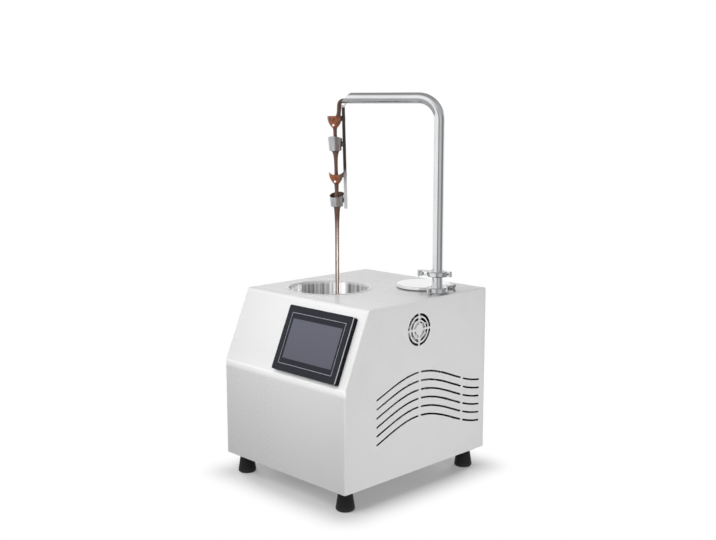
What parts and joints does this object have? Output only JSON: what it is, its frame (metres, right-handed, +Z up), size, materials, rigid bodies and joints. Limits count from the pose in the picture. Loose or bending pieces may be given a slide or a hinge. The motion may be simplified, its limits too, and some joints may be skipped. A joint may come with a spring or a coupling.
{
  "type": "chocolate melting tank",
  "caption": "Bench-top chocolate melting tank: a sloped white cabinet with a touch screen, a steel bowl and a pumped riser whose spout feeds a hanging cascade of scoops.",
  "frame": {"origin": "on the floor under the middle of the cabinet", "axes": "+X right as seen facing the screen, +Y to the back, +Z up"},
  "size_m": [0.4047, 0.477, 0.884],
  "materials": {
    "painted": "white gloss powder coat",
    "pan": "plain galvanised tray",
    "steel": "bead-blasted stainless",
    "polished": "polished stainless tube and clamps",
    "bowl": "spun stainless",
    "scoop": "bright sheet, coated by chocolate in use",
    "screw": "plated screws and pins",
    "rubber": "moulded black rubber",
    "seal": "white food-grade seal",
    "bezel": "dark blue-black moulding",
    "overlay": "dark overlay film",
    "display": "slate-grey lit screen",
    "dark_plastic": "black moulding",
    "rotor": "black moulded blades",
    "cast": "machined pump body",
    "gear": "bronze pump gears",
    "motor": "dark enamel",
    "heater": "heat-stained band",
    "insulation": "mineral wool wrap",
    "probe": "brass gland",
    "supply": "folded cage",
    "board": "green circuit board",
    "key": "red rocker key"
  },
  "bodies": {
    "cabinet": {"front_wrap": "painted", "right_side_panel": "painted", "left_side_panel": "painted", "rear_panel": "painted", "base_pan": "pan", "rear_screws": "screw", "rubber_feet": "rubber", "foot_bolts": "screw", "foot_nuts": "screw", "screen_bezel": "bezel", "screen_overlay": "overlay", "screen_display": "display", "screen_case": "dark_plastic", "screen_clips": "steel", "tank_bowl": "bowl", "heater_band": "heater", "tank_insulation": "insulation", "temperature_probe": "probe", "transfer_pipe": "steel", "pump_well": "bowl", "well_gasket": "seal", "pump_housing": "cast", "pump_base_plate": "cast", "idler_pin": "screw", "gear_motor": "motor", "motor_standoffs": "steel", "delivery_pipe": "polished", "lower_gasket": "seal", "lower_clamp_pivot_half": "polished", "lower_clamp_slot_half": "polished", "lower_clamp_pins": "screw", "spool": "polished", "upper_gasket": "seal", "upper_clamp_pivot_half": "polished", "upper_clamp_slot_half": "polished", "upper_clamp_pins": "screw", "fan_frame": "dark_plastic", "fan_studs": "screw", "fan_nuts": "screw", "power_supply": "supply", "control_board": "board", "power_inlet": "dark_plastic", "rocker_frame": "dark_plastic"},
    "lid": {"pump_cover": "bowl"},
    "drive": {"pump_drive_gear": "gear", "drive_coupling": "cast"},
    "idler": {"pump_idler_gear": "gear"},
    "lower_bolt": {"lower_swing_bolt": "screw"},
    "lower_nut": {"lower_wing_nut": "polished"},
    "upper_bolt": {"upper_swing_bolt": "screw"},
    "upper_nut": {"upper_wing_nut": "polished"},
    "spout": {"spout_tube": "polished"},
    "cascade": {"cascade_strip": "scoop", "upper_leaf": "scoop", "upper_cup": "scoop", "lower_leaf": "scoop", "lower_cup": "scoop", "cascade_rivets": "screw"},
    "fan": {"fan_rotor": "rotor"},
    "key": {"rocker": "key"}
  },
  "joints": [
    {"name": "lid_lift", "type": "slide", "parent": "cabinet", "child": "lid", "axis": [0, 0, 1], "range_m": [0, 0.15]},
    {"name": "pump_spin", "type": "hinge", "parent": "cabinet", "child": "drive", "pos_m": [0.08358, 0.11666, 0.23645], "axis": [0, 0, 1], "continuous": true},
    {"name": "idler_spin", "type": "hinge", "parent": "cabinet", "child": "idler", "pos_m": [0.10042, 0.14734, 0.23645], "axis": [0, 0, 1], "continuous": true},
    {"name": "lower_bolt_swing", "type": "hinge", "parent": "cabinet", "child": "lower_bolt", "pos_m": [0.16936, 0.12619, 0.4442], "axis": [0, 0, 1], "range_deg": [0, 75]},
    {"name": "lower_nut_turn", "type": "hinge", "parent": "lower_bolt", "child": "lower_nut", "pos_m": [0.18386, 0.12568, 0.4442], "axis": [0.9994, -0.0349, 0], "continuous": true},
    {"name": "upper_bolt_swing", "type": "hinge", "parent": "cabinet", "child": "upper_bolt", "pos_m": [0.13612, 0.07596, 0.4805], "axis": [0, 0, -1], "range_deg": [0, 75]},
    {"name": "upper_nut_turn", "type": "hinge", "parent": "upper_bolt", "child": "upper_nut", "pos_m": [0.14225, 0.06281, 0.4805], "axis": [0.4226, -0.9063, 0], "continuous": true},
    {"name": "spout_swivel", "type": "hinge", "parent": "cabinet", "child": "spout", "pos_m": [0.174, 0.087, 0.4805], "axis": [0, 0, 1], "range_deg": [-90, 90]},
    {"name": "cascade_swing", "type": "hinge", "parent": "spout", "child": "cascade", "pos_m": [-0.0278, -0.01318, 0.86075], "axis": [0.4446, -0.8957, 0], "range_deg": [-8, 8]},
    {"name": "fan_spin", "type": "hinge", "parent": "cabinet", "child": "fan", "pos_m": [0.186, -0.002, 0.369], "axis": [1, 0, 0], "continuous": true},
    {"name": "key_tip", "type": "hinge", "parent": "cabinet", "child": "key", "pos_m": [-0.05, 0.23, 0.108], "axis": [-1, 0, 0], "range_deg": [0, 14]}
  ],
  "couplings": [
    {"joint": "idler_spin", "follows": "pump_spin", "ratio": -1}
  ]
}
